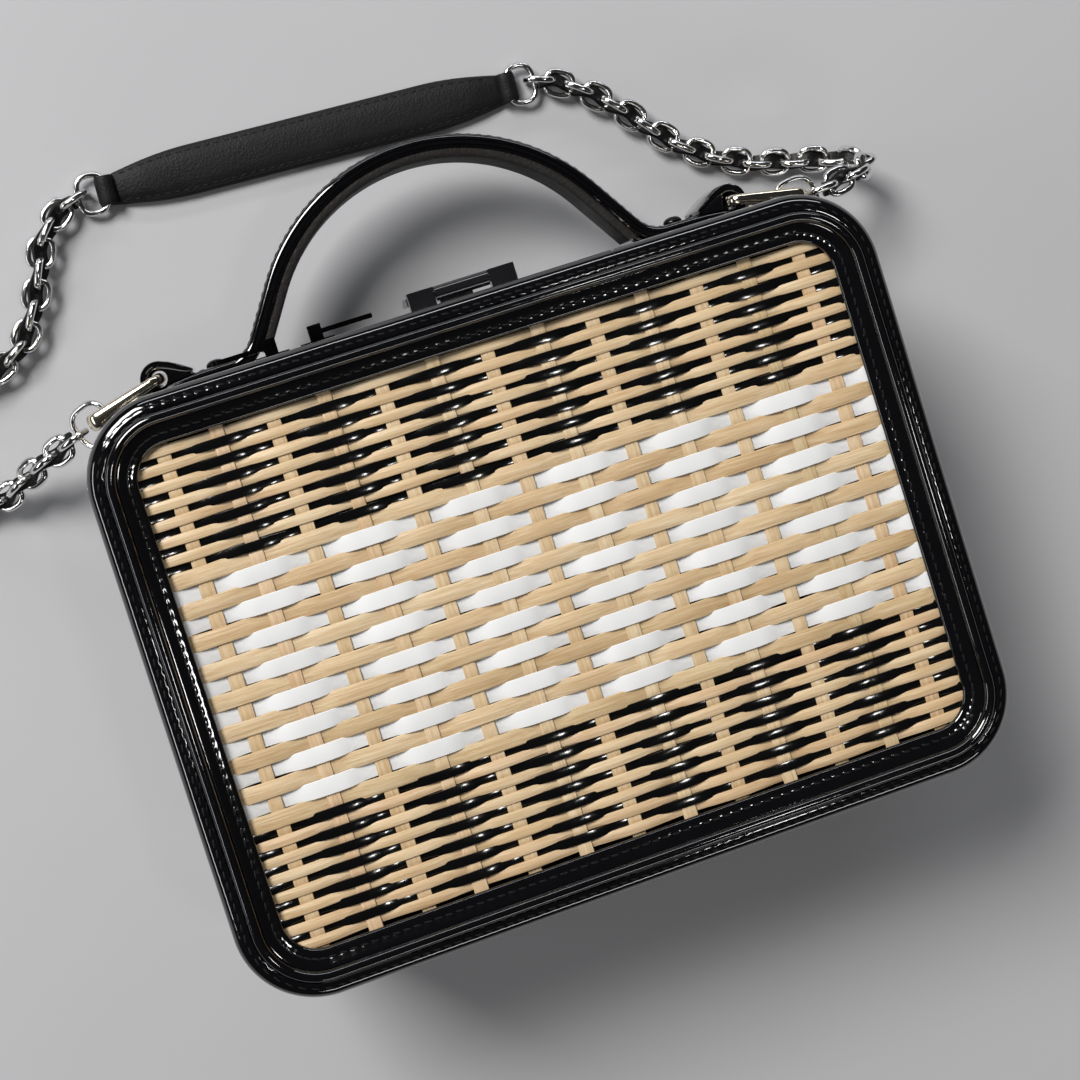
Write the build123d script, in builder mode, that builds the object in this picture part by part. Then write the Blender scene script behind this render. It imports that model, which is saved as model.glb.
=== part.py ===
from build123d import *
import os
from math import ceil, cos, floor, hypot, radians, sin, tan

# A rattan vanity case that lies on its back with its woven front facing up.
# X runs along the case, Y towards its handle and Z up through its depth. Millimetres.

# The closed case
case_width = 204.0
case_height = 153.0
case_depth = 80.0
corner_radius = 21.0
lid_depth = 28.0
wall_inset = 1.3
wall_thickness = 2.6
plate_thickness = 1.8
lining_thickness = 0.8
lining_setback = 1.0
running_gap = 0.3
overrun = 5.0

# The moulded frames round the two woven panels
frame_border = 12.2
lip_width = 4.2
lip_thickness = 1.0
bead_place = 6.3
bead_width = 2.8
bead_flat = 1.5
bead_height = 4.1
slope_height = 2.9
edge_height = 0.9

# The weave: reeds in front, stakes behind them and leather strips behind the stakes
reed_thickness = 1.2
stake_thickness = 0.9
strip_thickness = 0.7
thin_reed_width = 2.5
wide_reed_width = 3.8
stake_width = 3.3
black_strip_width = 2.6
white_strip_width = 3.6
white_crown = 0.3
thin_pitch = 4.35
join_pitch = 5.26
wide_pitch = 7.83
stake_pitch = 13.7
white_rows = 8
panel_gap = 0.4

# The zip and the leather hinge opposite it
zip_height = 7.0
zip_inset = 0.3
zip_thickness = 1.8
hinge_roll_radius = 1.2
hinge_web = 1.4
hinge_end_gap = 1.0

# The zip's two sliders and their pulls
slider_left_place = -50.0
slider_right_place = -38.0
slider_length = 9.0
slider_width = 8.4
slider_thickness = 1.6
slider_nose = 3.0
cheek_spread = 5.4
cheek_thickness = 1.0
cheek_length = 3.4
cheek_height = 4.0
pull_pin_radius = 0.7
pull_eye_radius = 1.5
pull_length = 15.0
pull_width = 4.0
pull_end_width = 5.0
pull_thickness = 1.2
pull_end_cut = 1.2
pull_slot = 2.0

# The handle strap with its curled ends
strap_width = 18.0
strap_thickness = 3.8
lining_strap_width = 16.4
lining_strap_thickness = 2.4
foot_length = 24.0
foot_radius = 10.0
arch_share = 0.95
leg_slope = 57.0
lining_clear = 3.0
loop_setback = 22.0
loop_radius = 4.8
loop_sides = 12
loop_bore = 2.2
stud_setback = 15.0
stud_radius = 2.6
stud_height = 1.8
stud_bevel = 1.0
stud_sides = 12

# The rings that carry the chain strap
ring_reach = 20.0
ring_wire = 3.0
ring_side_gap = 0.5
ring_corner = 3.0
ring_droops = (17.0, 13.0)
jump_radius = 6.4
jump_wire = 1.5
jump_sides = 12
jump_offset = 1.2
jump_slack = 0.5

# The chain strap
link_length = 9.6
link_width = 8.4
link_wire = 1.5
link_cut = 2.0
link_floor_gap = 0.2
link_slack = 0.5
pad_slack = 0.9
corner_run_share = 0.49
pad_width = 14.0
pad_tip_width = 8.0
pad_taper = 24.0
pad_thickness = 4.0
pad_bevel = 0.8
pad_loop_radius = 2.8
pad_loop_sides = 8
pad_loop_bore = 1.5
pad_loop_height = 3.0
pad_ring_reach = 8.0
pad_ring_wire = 1.8
pad_ring_corner = 2.0

# Lie of the strap, chosen by hand: shares of the case's width and height, and of the rise to the rings
pad_left_shares = (-0.3892, 0.8791)
pad_right_shares = (0.1767, 0.8497)
left_route_shares = (
    (-0.5858, 0.4399, 0.514),
    (-0.6446, 0.3967, 0),
    (-0.735, 0.412, 0),
    (-0.735, 0.588, 0),
    (-0.5686, 0.6275, 0),
    (-0.5147, 0.7418, 0),
    (-0.4828, 0.8562, 0),
)
right_route_shares = (
    (0.608, 0.505, 1),
    (0.618, 0.54, 0),
    (0.412, 0.6, 0),
    (0.279, 0.82, 0),
)

# The clasp over the zip
clasp_width = 28.0
clasp_plate = 1.0
clasp_rise = 12.5
clasp_leaf_height = 8.0
clasp_barrel_radius = 1.9
clasp_pin_radius = 0.9
clasp_pin_gap = 0.15
clasp_barrel_share = 0.5
flap_height = 24.0
flap_thickness = 2.0
flap_standoff = 3.0
flap_corner = 3.0
inlay_thickness = 0.9
inlay_margin = 1.6
base_height = 9.0
base_width = 20.0
base_corner = 2.0
catch_width = 9.0
catch_height = 4.5

# Sizes and levels that follow from the ones above
window_width = case_width - 2 * frame_border
window_height = case_height - 2 * frame_border
window_radius = corner_radius - frame_border
panel_reach = lip_width - panel_gap
panel_width = window_width + 2 * panel_reach
panel_height = window_height + 2 * panel_reach
panel_radius = window_radius + panel_reach
panel_stack = reed_thickness + stake_thickness + strip_thickness
lip_level = case_depth - bead_height
split_height = case_depth - lid_depth
handle_height = split_height / 2
clasp_hinge_height = split_height + clasp_rise
stake_level = lip_level - reed_thickness - stake_thickness
strip_level = lip_level - panel_stack
middle = Plane.XY.offset(case_depth / 2)
wall_top = case_height / 2 - wall_inset
body_plate = case_depth - strip_level
body_rim = split_height - zip_height / 2
lid_rim = split_height + zip_height / 2
loop_height = wall_top + loop_radius
loop_place = case_width / 2 - loop_setback
stud_place = loop_place - stud_setback
foot_place = loop_place - foot_length
arch_radius = arch_share * foot_place
strap_axis = wall_top + strap_thickness / 2

# Places of the rows across the panel, from its middle
wide_places = [(row - white_rows / 2) * wide_pitch for row in range(white_rows + 1)]
first_thin = wide_places[-1] + join_pitch
black_rows = 1 + floor((window_height / 2 - first_thin) / thin_pitch)
band_places = [first_thin + row * thin_pitch for row in range(black_rows)]
thin_places = band_places + [-place for place in band_places]
white_places = [(row - (white_rows - 1) / 2) * wide_pitch for row in range(white_rows)]
band_gaps = [wide_places[-1] + join_pitch / 2] + [place - thin_pitch / 2 for place in band_places[1:]]
black_places = band_gaps + [-place for place in band_gaps]
side_stakes = floor(panel_width / 2 / (2 * stake_pitch))
stake_places = [2 * stake_pitch * stake for stake in range(-side_stakes, side_stakes + 1)]


def case_outline(inset):
    """Draw the case's rounded outline, set in by a length."""
    RectangleRounded(case_width - 2 * inset, case_height - 2 * inset, corner_radius - inset)


def zip_band(inset, depth):
    """Draw a band along the case's outline, open along the straight of its hinge side."""
    case_outline(inset)
    RectangleRounded(
        case_width - 2 * (inset + depth),
        case_height - 2 * (inset + depth),
        corner_radius - inset - depth,
        mode=Mode.SUBTRACT,
    )
    with Locations((0, -case_height / 2)):
        Rectangle(case_width - 2 * corner_radius, case_height / 2, mode=Mode.SUBTRACT)


def panel_outline():
    """Keep what lies inside the woven panel's rounded outline."""
    RectangleRounded(panel_width, panel_height, panel_radius, mode=Mode.INTERSECT)


def cut_rectangle(length, width, cut):
    """Draw a rectangle with its corners cut off."""
    Polygon(
        (-length / 2, -width / 2 + cut),
        (-length / 2 + cut, -width / 2),
        (length / 2 - cut, -width / 2),
        (length / 2, -width / 2 + cut),
        (length / 2, width / 2 - cut),
        (length / 2 - cut, width / 2),
        (-length / 2 + cut, width / 2),
        (-length / 2, width / 2 - cut),
        align=None,
    )


def flat_ring(plane, reach, inner, wire, corner):
    """Make a ring of flat band with a round bar on the plane's origin, reaching out along its x."""
    with BuildPart() as band:
        with BuildSketch(plane):
            with Locations((reach / 2, 0)):
                cut_rectangle(reach + wire, inner + 2 * wire, corner)
            with Locations((reach - wire / 2, 0)):
                Rectangle(2 * reach, inner, align=(Align.MAX, Align.CENTER), mode=Mode.SUBTRACT)
        extrude(amount=wire / 2, both=True)
        with BuildSketch(Plane(origin=plane.origin, x_dir=plane.x_dir, z_dir=plane.y_dir)):
            Circle(wire / 2)
        extrude(amount=(inner + wire) / 2, both=True)
    return band.part


def strap_points(shares):
    """Points of a chain's route, from shares of the case's sizes and of the rise to the rings."""
    rest = link_width / 2 + link_floor_gap
    return [
        Vector(case_width * x, case_height * y, rest + rise * (handle_height - rest)) for x, y, rise in shares
    ]


def corner_radii(points):
    """Radii of the arcs at a route's corners, as large as the runs beside each corner allow."""
    rooms = [(end - start).length for start, end in zip(points, points[1:])]
    rooms[0] = 2 * rooms[0]
    rooms[-1] = 2 * rooms[-1]
    radii = []
    for number in range(1, len(points) - 1):
        before = points[number] - points[number - 1]
        after = points[number + 1] - points[number]
        turn = radians(before.get_angle(after))
        radii.append(corner_run_share * min(rooms[number - 1], rooms[number]) / tan(turn / 2))
    return radii


os.makedirs("parts", exist_ok=True)
pieces = []


# Walls: two open boxes that meet at the zip
with BuildPart() as body_wall:
    with BuildSketch(Plane.XY.offset(body_plate)):
        case_outline(wall_inset)
    extrude(amount=body_rim - body_plate)
    with BuildSketch(Plane.XY.offset(body_plate + plate_thickness)):
        case_outline(wall_inset + wall_thickness)
    extrude(amount=body_rim - body_plate - plate_thickness, mode=Mode.SUBTRACT)
pieces.append(("body_wall", body_wall))

with BuildPart() as lid_wall:
    with BuildSketch(Plane.XY.offset(lid_rim)):
        case_outline(wall_inset)
    extrude(amount=strip_level - lid_rim)
    with BuildSketch(Plane.XY.offset(lid_rim)):
        case_outline(wall_inset + wall_thickness)
    extrude(amount=strip_level - lid_rim - plate_thickness, mode=Mode.SUBTRACT)
pieces.append(("lid_wall", lid_wall))

# Linings inside both boxes
lining_inset = wall_inset + wall_thickness
body_floor = body_plate + plate_thickness
lid_ceiling = strip_level - plate_thickness

with BuildPart() as body_lining:
    with BuildSketch(Plane.XY.offset(body_floor)):
        case_outline(lining_inset)
    extrude(amount=body_rim - lining_setback - body_floor)
    with BuildSketch(Plane.XY.offset(body_floor + lining_thickness)):
        case_outline(lining_inset + lining_thickness)
    extrude(amount=body_rim - body_floor, mode=Mode.SUBTRACT)
pieces.append(("body_lining", body_lining))

with BuildPart() as lid_lining:
    with BuildSketch(Plane.XY.offset(lid_rim + lining_setback)):
        case_outline(lining_inset)
    extrude(amount=lid_ceiling - lid_rim - lining_setback)
    with BuildSketch(Plane.XY.offset(lid_rim)):
        case_outline(lining_inset + lining_thickness)
    extrude(amount=lid_ceiling - lining_thickness - lid_rim, mode=Mode.SUBTRACT)
pieces.append(("lid_lining", lid_lining))

# Frames: one moulding swept round the window, with a flat-topped bead between two slopes
with BuildSketch(Plane.XY.offset(lip_level)) as window:
    RectangleRounded(window_width, window_height, window_radius)
window_edge = window.sketch.face().outer_wire()
outward = (window_edge % 0).cross(Vector(0, 0, 1))

with BuildPart() as lid_frame:
    with BuildSketch(Plane(origin=window_edge @ 0, x_dir=outward, z_dir=-(window_edge % 0))):
        with BuildLine():
            Polyline(
                (0, 0),
                (0, lip_thickness),
                (bead_place - bead_width / 2, slope_height),
                (bead_place - bead_flat / 2, bead_height),
                (bead_place + bead_flat / 2, bead_height),
                (bead_place + bead_width / 2, slope_height),
                (frame_border, edge_height),
                (frame_border, -panel_stack),
                (lip_width, -panel_stack),
                (lip_width, 0),
                close=True,
            )
        make_face()
    sweep(path=window_edge)
pieces.append(("lid_frame", lid_frame))

with BuildPart() as body_frame:
    mirror(lid_frame.part, about=middle)
pieces.append(("body_frame", body_frame))

# Woven front: reeds along the case in front of the stakes that show
with BuildPart() as lid_reeds:
    with BuildSketch(Plane.XY.offset(lip_level - reed_thickness)):
        with Locations(*[(0, place) for place in thin_places]):
            Rectangle(panel_width, thin_reed_width)
        with Locations(*[(0, place) for place in wide_places]):
            Rectangle(panel_width, wide_reed_width)
        panel_outline()
    extrude(amount=reed_thickness)
pieces.append(("lid_reeds", lid_reeds))

with BuildPart() as lid_stakes:
    with BuildSketch(Plane.XY.offset(stake_level)):
        with Locations(*[(place, 0) for place in stake_places]):
            Rectangle(stake_width, panel_height)
        panel_outline()
    extrude(amount=stake_thickness)
pieces.append(("lid_stakes", lid_stakes))

# Black strips lie flat behind the stakes, in the bands along both edges
with BuildPart() as lid_black_strips:
    with BuildSketch(Plane.XY.offset(strip_level)):
        with Locations(*[(0, place) for place in black_places]):
            Rectangle(panel_width, black_strip_width)
        panel_outline()
    extrude(amount=strip_thickness)
pieces.append(("lid_black_strips", lid_black_strips))

# White strips rise between the stakes and dive behind each of them
white_rise = reed_thickness + stake_thickness + white_crown
stake_room = stake_width / 2 + running_gap
white_line = []
for stake in range(-side_stakes - 1, side_stakes + 2):
    place = 2 * stake_pitch * stake
    white_line.append((place - stake_room, strip_level))
    white_line.append((place + stake_room, strip_level))
    white_line.append((place + stake_pitch, strip_level + white_rise))
white_top = [(x, level + strip_thickness) for x, level in reversed(white_line)]

with BuildPart() as lid_white_strips:
    for place in white_places:
        with BuildSketch(Plane.XZ.offset(-place)):
            Polygon(*white_line, *white_top, align=None)
        extrude(amount=white_strip_width / 2, both=True)
    with BuildSketch(Plane.XY.offset(strip_level)):
        RectangleRounded(panel_width, panel_height, panel_radius)
    extrude(amount=white_rise + strip_thickness, mode=Mode.INTERSECT)
pieces.append(("lid_white_strips", lid_white_strips))

# Woven back: the same panel facing down, its white strips left flat
with BuildPart() as body_reeds:
    mirror(lid_reeds.part, about=middle)
pieces.append(("body_reeds", body_reeds))

with BuildPart() as body_stakes:
    mirror(lid_stakes.part, about=middle)
pieces.append(("body_stakes", body_stakes))

with BuildPart() as body_black_strips:
    mirror(lid_black_strips.part, about=middle)
pieces.append(("body_black_strips", body_black_strips))

with BuildPart() as body_white_strips:
    with BuildSketch(Plane.XY.offset(body_plate - strip_thickness)):
        with Locations(*[(0, place) for place in white_places]):
            Rectangle(panel_width, white_strip_width)
    extrude(amount=strip_thickness)
pieces.append(("body_white_strips", body_white_strips))

# Zip: one half on each rim, which meet at the split
with BuildPart() as zip_half_body:
    with BuildSketch(Plane.XY.offset(body_rim)):
        zip_band(wall_inset + zip_inset, zip_thickness)
    extrude(amount=zip_height / 2)
pieces.append(("zip_half_body", zip_half_body))

with BuildPart() as zip_half_lid:
    with BuildSketch(Plane.XY.offset(split_height)):
        zip_band(wall_inset + zip_inset, zip_thickness)
    extrude(amount=zip_height / 2)
pieces.append(("zip_half_lid", zip_half_lid))

# Hinge: a leather roll on the body's rim and a leaf on the lid's rim that turns round it
hinge_length = case_width - 2 * corner_radius - 2 * hinge_end_gap
hinge_side = Plane(origin=(0, -wall_top, split_height), x_dir=(0, 1, 0), z_dir=(1, 0, 0))

with BuildPart() as hinge_roll:
    with BuildSketch(hinge_side):
        Circle(hinge_roll_radius)
        Rectangle(hinge_web, zip_height / 2, align=(Align.MIN, Align.MAX))
    extrude(amount=hinge_length / 2, both=True)
pieces.append(("hinge_roll", hinge_roll))

with BuildPart() as hinge_leaf:
    with BuildSketch(hinge_side):
        Rectangle(wall_thickness, zip_height / 2, align=(Align.MIN, Align.MIN))
        Circle(hinge_roll_radius + running_gap, mode=Mode.SUBTRACT)
        with Locations((hinge_roll_radius + running_gap, 0)):
            Rectangle(wall_thickness, hinge_web, align=(Align.CENTER, Align.CENTER), mode=Mode.SUBTRACT)
    extrude(amount=hinge_length / 2, both=True)
pieces.append(("hinge_leaf", hinge_leaf))

# Sliders ride along the zip's top run, each with a pull that turns on its pin
slider_face = wall_top + running_gap
pin_level = slider_face + slider_thickness + cheek_height / 2
for name, place, facing in (("left", slider_left_place, -1), ("right", slider_right_place, 1)):
    with BuildPart() as slider:
        with BuildSketch(Plane.XZ.offset(-slider_face)):
            with Locations((place, split_height)):
                cut_rectangle(slider_length, slider_width, slider_nose)
        extrude(amount=-slider_thickness)
        for end in (-1, 1):
            with BuildSketch(Plane.XZ.offset(-slider_face - slider_thickness)):
                with Locations((place, split_height + end * (cheek_spread + cheek_thickness) / 2)):
                    Rectangle(cheek_length, cheek_thickness)
            extrude(amount=-cheek_height)
        with BuildSketch(Plane.XY.offset(split_height)):
            with Locations((place, pin_level)):
                Circle(pull_pin_radius)
        extrude(amount=cheek_spread / 2, both=True)
    pieces.append((f"zip_slider_{name}", slider))

    with BuildPart() as pull:
        with BuildSketch(Plane.XY.offset(split_height)):
            with Locations((place, pin_level)):
                Circle(pull_eye_radius)
            with Locations((place + facing * pull_length / 2, pin_level)):
                Rectangle(pull_length, pull_thickness)
            with Locations((place, pin_level)):
                Circle(pull_pin_radius + running_gap, mode=Mode.SUBTRACT)
        extrude(amount=pull_width / 2, both=True)
        with BuildSketch(Plane.XZ.offset(-pin_level)):
            with Locations((place + facing * (pull_length - pull_end_width / 2), split_height)):
                cut_rectangle(pull_end_width, pull_end_width, pull_end_cut)
        extrude(amount=pull_thickness / 2, both=True)
        with BuildSketch(Plane.XZ.offset(-pin_level)):
            with Locations((place + facing * (pull_length - pull_end_width / 2), split_height)):
                Rectangle(pull_slot, pull_slot)
        extrude(amount=pull_thickness, both=True, mode=Mode.SUBTRACT)
    pieces.append((f"zip_pull_{name}", pull))

# Handle: one strap, flat at its feet, arched between them and curled round the rings
leg_rise = foot_place * tan(radians(leg_slope))
with BuildLine(Plane.XY.offset(handle_height)) as strap_line:
    FilletPolyline(
        (-loop_place, strap_axis),
        (-foot_place, strap_axis),
        (0, strap_axis + leg_rise),
        (foot_place, strap_axis),
        (loop_place, strap_axis),
        radius=[foot_radius, arch_radius, foot_radius],
    )
strap_path = strap_line.wire()

with BuildPart() as handle_strap:
    with BuildSketch(Plane(origin=strap_path @ 0, x_dir=(0, 1, 0), z_dir=strap_path % 0)):
        Rectangle(strap_thickness, strap_width)
    sweep(path=strap_path)
    with BuildSketch(Plane.XY.offset(handle_height)):
        with Locations((-loop_place, loop_height), (loop_place, loop_height)):
            RegularPolygon(loop_radius, loop_sides, major_radius=False, rotation=180 / loop_sides)
    extrude(amount=strap_width / 2, both=True)
    with BuildSketch(Plane.XY.offset(handle_height)):
        with Locations((-loop_place, loop_height), (loop_place, loop_height)):
            Circle(loop_bore)
    extrude(amount=strap_width, both=True, mode=Mode.SUBTRACT)
pieces.append(("handle_strap", handle_strap))

# Its lining follows the inside of the legs and the arch
lining_offset = (strap_thickness + lining_strap_thickness) / 2
lining_peak = strap_axis + leg_rise - lining_offset / cos(radians(leg_slope))
lining_start = wall_top + lining_clear
lining_foot = (lining_peak - lining_start) / tan(radians(leg_slope))
with BuildLine(Plane.XY.offset(handle_height)) as lining_line:
    FilletPolyline(
        (-lining_foot, lining_start),
        (0, lining_peak),
        (lining_foot, lining_start),
        radius=arch_radius - lining_offset,
    )
lining_path = lining_line.wire()

with BuildPart() as handle_lining:
    with BuildSketch(Plane(origin=lining_path @ 0, x_dir=(0, 0, 1), z_dir=lining_path % 0)):
        Rectangle(lining_strap_width, lining_strap_thickness)
    sweep(path=lining_path)
pieces.append(("handle_lining", handle_lining))

# Domed studs hold the handle's feet
foot_top = wall_top + strap_thickness
with BuildPart() as handle_studs:
    with BuildSketch(Plane.XZ.offset(-foot_top)):
        with Locations((-stud_place, handle_height), (stud_place, handle_height)):
            RegularPolygon(stud_radius, stud_sides)
    extrude(amount=-stud_height)
    chamfer(handle_studs.faces().group_by(Axis.Y)[-1].edges(), stud_bevel)
pieces.append(("handle_studs", handle_studs))

# Rings in the handle's curled ends, and a jump ring on each
jump_places = []
for name, side, droop in (("left", -1, ring_droops[0]), ("right", 1, ring_droops[1])):
    reach_dir = Vector(side * cos(radians(droop)), -sin(radians(droop)), 0)
    loop_centre = Vector(side * loop_place, loop_height, handle_height)
    ring_plane = Plane(origin=loop_centre, x_dir=reach_dir, z_dir=reach_dir.cross(Vector(0, 0, 1)))
    with BuildPart() as ring:
        add(flat_ring(ring_plane, ring_reach, strap_width + 2 * ring_side_gap, ring_wire, ring_corner))
    pieces.append((f"ring_{name}", ring))
    jump_places.append(loop_centre + reach_dir * (ring_reach + jump_offset))

# Each jump ring lies along the way in which its chain leaves
left_route = strap_points(left_route_shares)
right_route = strap_points(right_route_shares)
first_dirs = []
with BuildPart() as jump_rings:
    for jump_place, route in zip(jump_places, (left_route, right_route)):
        first_dir = (route[0] - jump_place).normalized()
        first_dirs.append(first_dir)
        across = Vector(0, 0, 1).cross(first_dir)
        with BuildSketch(Plane(origin=jump_place, x_dir=first_dir, z_dir=first_dir.cross(across))):
            RegularPolygon(jump_radius, jump_sides)
            RegularPolygon(jump_radius - jump_wire, jump_sides, mode=Mode.SUBTRACT)
        extrude(amount=jump_wire / 2, both=True)
pieces.append(("jump_rings", jump_rings))

# Shoulder pad, lying flat, with a curled loop and a ring at each end
pad_left = Vector(case_width * pad_left_shares[0], case_height * pad_left_shares[1], 0)
pad_right = Vector(case_width * pad_right_shares[0], case_height * pad_right_shares[1], 0)
pad_length = (pad_right - pad_left).length
pad_dir = (pad_right - pad_left).normalized()
pad_across = Vector(0, 0, 1).cross(pad_dir)
pad_plane = Plane(origin=(pad_left + pad_right) / 2, x_dir=pad_dir, z_dir=(0, 0, 1))
pad_side_plane = Plane(
    origin=(pad_left + pad_right) / 2 + Vector(0, 0, pad_loop_height), x_dir=pad_dir, z_dir=-pad_across
)

with BuildPart() as shoulder_pad:
    with BuildSketch(pad_plane):
        Polygon(
            (-pad_length / 2, -pad_tip_width / 2),
            (-pad_length / 2 + pad_taper, -pad_width / 2),
            (pad_length / 2 - pad_taper, -pad_width / 2),
            (pad_length / 2, -pad_tip_width / 2),
            (pad_length / 2, pad_tip_width / 2),
            (pad_length / 2 - pad_taper, pad_width / 2),
            (-pad_length / 2 + pad_taper, pad_width / 2),
            (-pad_length / 2, pad_tip_width / 2),
            align=None,
        )
    extrude(amount=pad_thickness)
    chamfer(shoulder_pad.faces().sort_by(Axis.Z)[-1].edges(), pad_bevel)
    with BuildSketch(pad_side_plane):
        with Locations((-pad_length / 2, 0), (pad_length / 2, 0)):
            RegularPolygon(pad_loop_radius, pad_loop_sides)
    extrude(amount=pad_tip_width / 2, both=True)
    with BuildSketch(pad_side_plane):
        with Locations((-pad_length / 2, 0), (pad_length / 2, 0)):
            Circle(pad_loop_bore)
    extrude(amount=pad_width, both=True, mode=Mode.SUBTRACT)
pieces.append(("shoulder_pad", shoulder_pad))

pad_lift = Vector(0, 0, pad_loop_height)
ring_inner = pad_tip_width + 2 * ring_side_gap
with BuildPart() as pad_rings:
    with BuildSketch(pad_plane.offset(pad_loop_height)):
        for end in (-1, 1):
            with Locations((end * (pad_length + pad_ring_reach) / 2, 0)):
                cut_rectangle(pad_ring_reach + pad_ring_wire, ring_inner + 2 * pad_ring_wire, pad_ring_corner)
                Rectangle(pad_ring_reach - pad_ring_wire, ring_inner, mode=Mode.SUBTRACT)
    extrude(amount=pad_ring_wire / 2, both=True)
pieces.append(("pad_rings", pad_rings))

# Chains: links stand and lie by turns along the line that they follow, and end level at the pad
link_hole = link_length - 2 * link_wire
with BuildPart() as link:
    with BuildSketch():
        cut_rectangle(link_length, link_width, link_cut)
        Rectangle(link_hole, link_width - 2 * link_wire, mode=Mode.SUBTRACT)
    extrude(amount=link_wire / 2, both=True)

jump_hook = jump_radius - jump_wire - jump_slack + link_hole / 2
pad_hook = link_hole / 2 - pad_ring_wire / 2 - pad_slack
pad_bars = (
    pad_left + pad_lift - pad_dir * pad_ring_reach,
    pad_right + pad_lift + pad_dir * pad_ring_reach,
)
for side, (name, route) in enumerate((("left", left_route), ("right", right_route))):
    last_dir = (route[-1] - pad_bars[side]).normalized()
    first_link = jump_places[side] + first_dirs[side] * jump_hook
    last_link = pad_bars[side] + last_dir * pad_hook
    corners = [first_link] + route + [last_link]
    with BuildLine() as chain_line:
        FilletPolyline(*corners, radius=corner_radii(corners))
    chain_path = chain_line.wire()
    spaces = 2 * ceil(chain_path.length / (link_hole - link_slack) / 2)
    across = Vector(0, 0, 1).cross(first_dirs[side])
    turns = []
    for number in range(spaces + 1):
        along = chain_path % (number / spaces)
        across = (across - along * across.dot(along)).normalized()
        turns.append((chain_path @ (number / spaces), along, across))
    level = Vector(0, 0, 1).cross(along)
    twist = across.get_signed_angle(level, along)
    twist = (twist + 90) % 180 - 90
    link_places = []
    for number, (place, along, across) in enumerate(turns):
        across = across.rotate(Axis((0, 0, 0), along), twist * number / spaces)
        facing = along.cross(across) if number % 2 else across
        link_places.append(Plane(origin=place, x_dir=along, z_dir=facing).location)
    with BuildPart() as chain:
        with Locations(*link_places):
            add(link.part)
    pieces.append((f"chain_{name}", chain))

# Clasp: a hinged metal flap on the lid that closes over the zip onto a catch on the body
flap_face = wall_top + flap_standoff
flap_axis = flap_face + flap_thickness / 2
barrel_half = clasp_width * clasp_barrel_share / 2
clasp_side = Plane(origin=(0, flap_axis, clasp_hinge_height), x_dir=(0, 1, 0), z_dir=(1, 0, 0))

with BuildPart() as clasp_hinge:
    with BuildSketch(Plane.XZ.offset(-wall_top)):
        with Locations((0, clasp_hinge_height)):
            Rectangle(clasp_width, clasp_leaf_height)
    extrude(amount=-clasp_plate)
    with BuildSketch(clasp_side):
        with Locations((clasp_barrel_radius, 0)):
            Rectangle(
                flap_axis + clasp_barrel_radius - wall_top,
                2 * clasp_barrel_radius,
                align=(Align.MAX, Align.CENTER),
            )
    extrude(amount=clasp_width / 2, both=True)
    with BuildSketch(Plane.XZ.offset(-wall_top - clasp_plate)):
        with Locations((0, clasp_hinge_height)):
            Rectangle(2 * (barrel_half + running_gap), 2 * clasp_leaf_height)
    extrude(amount=-overrun - flap_standoff, mode=Mode.SUBTRACT)
    with BuildSketch(clasp_side):
        Circle(clasp_pin_radius)
    extrude(amount=clasp_width, both=True, mode=Mode.SUBTRACT)
pieces.append(("clasp_hinge", clasp_hinge))

with BuildPart() as clasp_pin:
    with BuildSketch(clasp_side):
        Circle(clasp_pin_radius)
    extrude(amount=clasp_width / 2, both=True)
pieces.append(("clasp_pin", clasp_pin))

flap_low = clasp_hinge_height - flap_height
leaf_height = flap_height - hypot(clasp_barrel_radius, clasp_barrel_radius) - running_gap
with BuildPart() as clasp_flap:
    with BuildSketch(Plane.XZ.offset(-flap_face)):
        with Locations((0, flap_low + leaf_height / 2)):
            cut_rectangle(clasp_width, leaf_height, flap_corner)
        with Locations((0, clasp_hinge_height)):
            Rectangle(2 * barrel_half, flap_height / 2, align=(Align.CENTER, Align.MAX))
    extrude(amount=-flap_thickness)
    with BuildSketch(clasp_side):
        Circle(clasp_barrel_radius)
    extrude(amount=barrel_half, both=True)
    with BuildSketch(clasp_side):
        Circle(clasp_pin_radius + clasp_pin_gap)
    extrude(amount=clasp_width, both=True, mode=Mode.SUBTRACT)
pieces.append(("clasp_flap", clasp_flap))

inlay_height = leaf_height - 2 * inlay_margin
with BuildPart() as clasp_inlay:
    with BuildSketch(Plane.XZ.offset(-flap_face - flap_thickness)):
        with Locations((0, flap_low + leaf_height / 2)):
            cut_rectangle(clasp_width - 2 * inlay_margin, inlay_height, flap_corner)
    extrude(amount=-inlay_thickness)
pieces.append(("clasp_inlay", clasp_inlay))

with BuildPart() as clasp_catch:
    with BuildSketch(Plane.XZ.offset(-wall_top)):
        with Locations((0, flap_low + base_height / 2 - base_corner)):
            cut_rectangle(base_width, base_height, base_corner)
    extrude(amount=-clasp_plate)
    with BuildSketch(Plane.XZ.offset(-wall_top)):
        with Locations((0, flap_low + base_height / 2 - base_corner)):
            Rectangle(catch_width, catch_height)
    extrude(amount=-flap_standoff + running_gap)
pieces.append(("clasp_catch", clasp_catch))

for name, piece in pieces:
    piece.part.label = name
    export_step(piece.part, f"parts/{name}.step")
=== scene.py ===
import bmesh
import bpy
import math
import random
from mathutils import Matrix, Vector


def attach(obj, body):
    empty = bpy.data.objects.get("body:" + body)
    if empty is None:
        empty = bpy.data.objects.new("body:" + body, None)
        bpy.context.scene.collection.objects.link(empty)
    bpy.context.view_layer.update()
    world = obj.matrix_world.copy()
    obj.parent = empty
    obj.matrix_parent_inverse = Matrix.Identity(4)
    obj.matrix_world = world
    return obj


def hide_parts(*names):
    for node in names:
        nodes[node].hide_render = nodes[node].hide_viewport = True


# Looks of the rattan vanity case. Shapes are worked out in millimetres, in the part's own frame.

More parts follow.
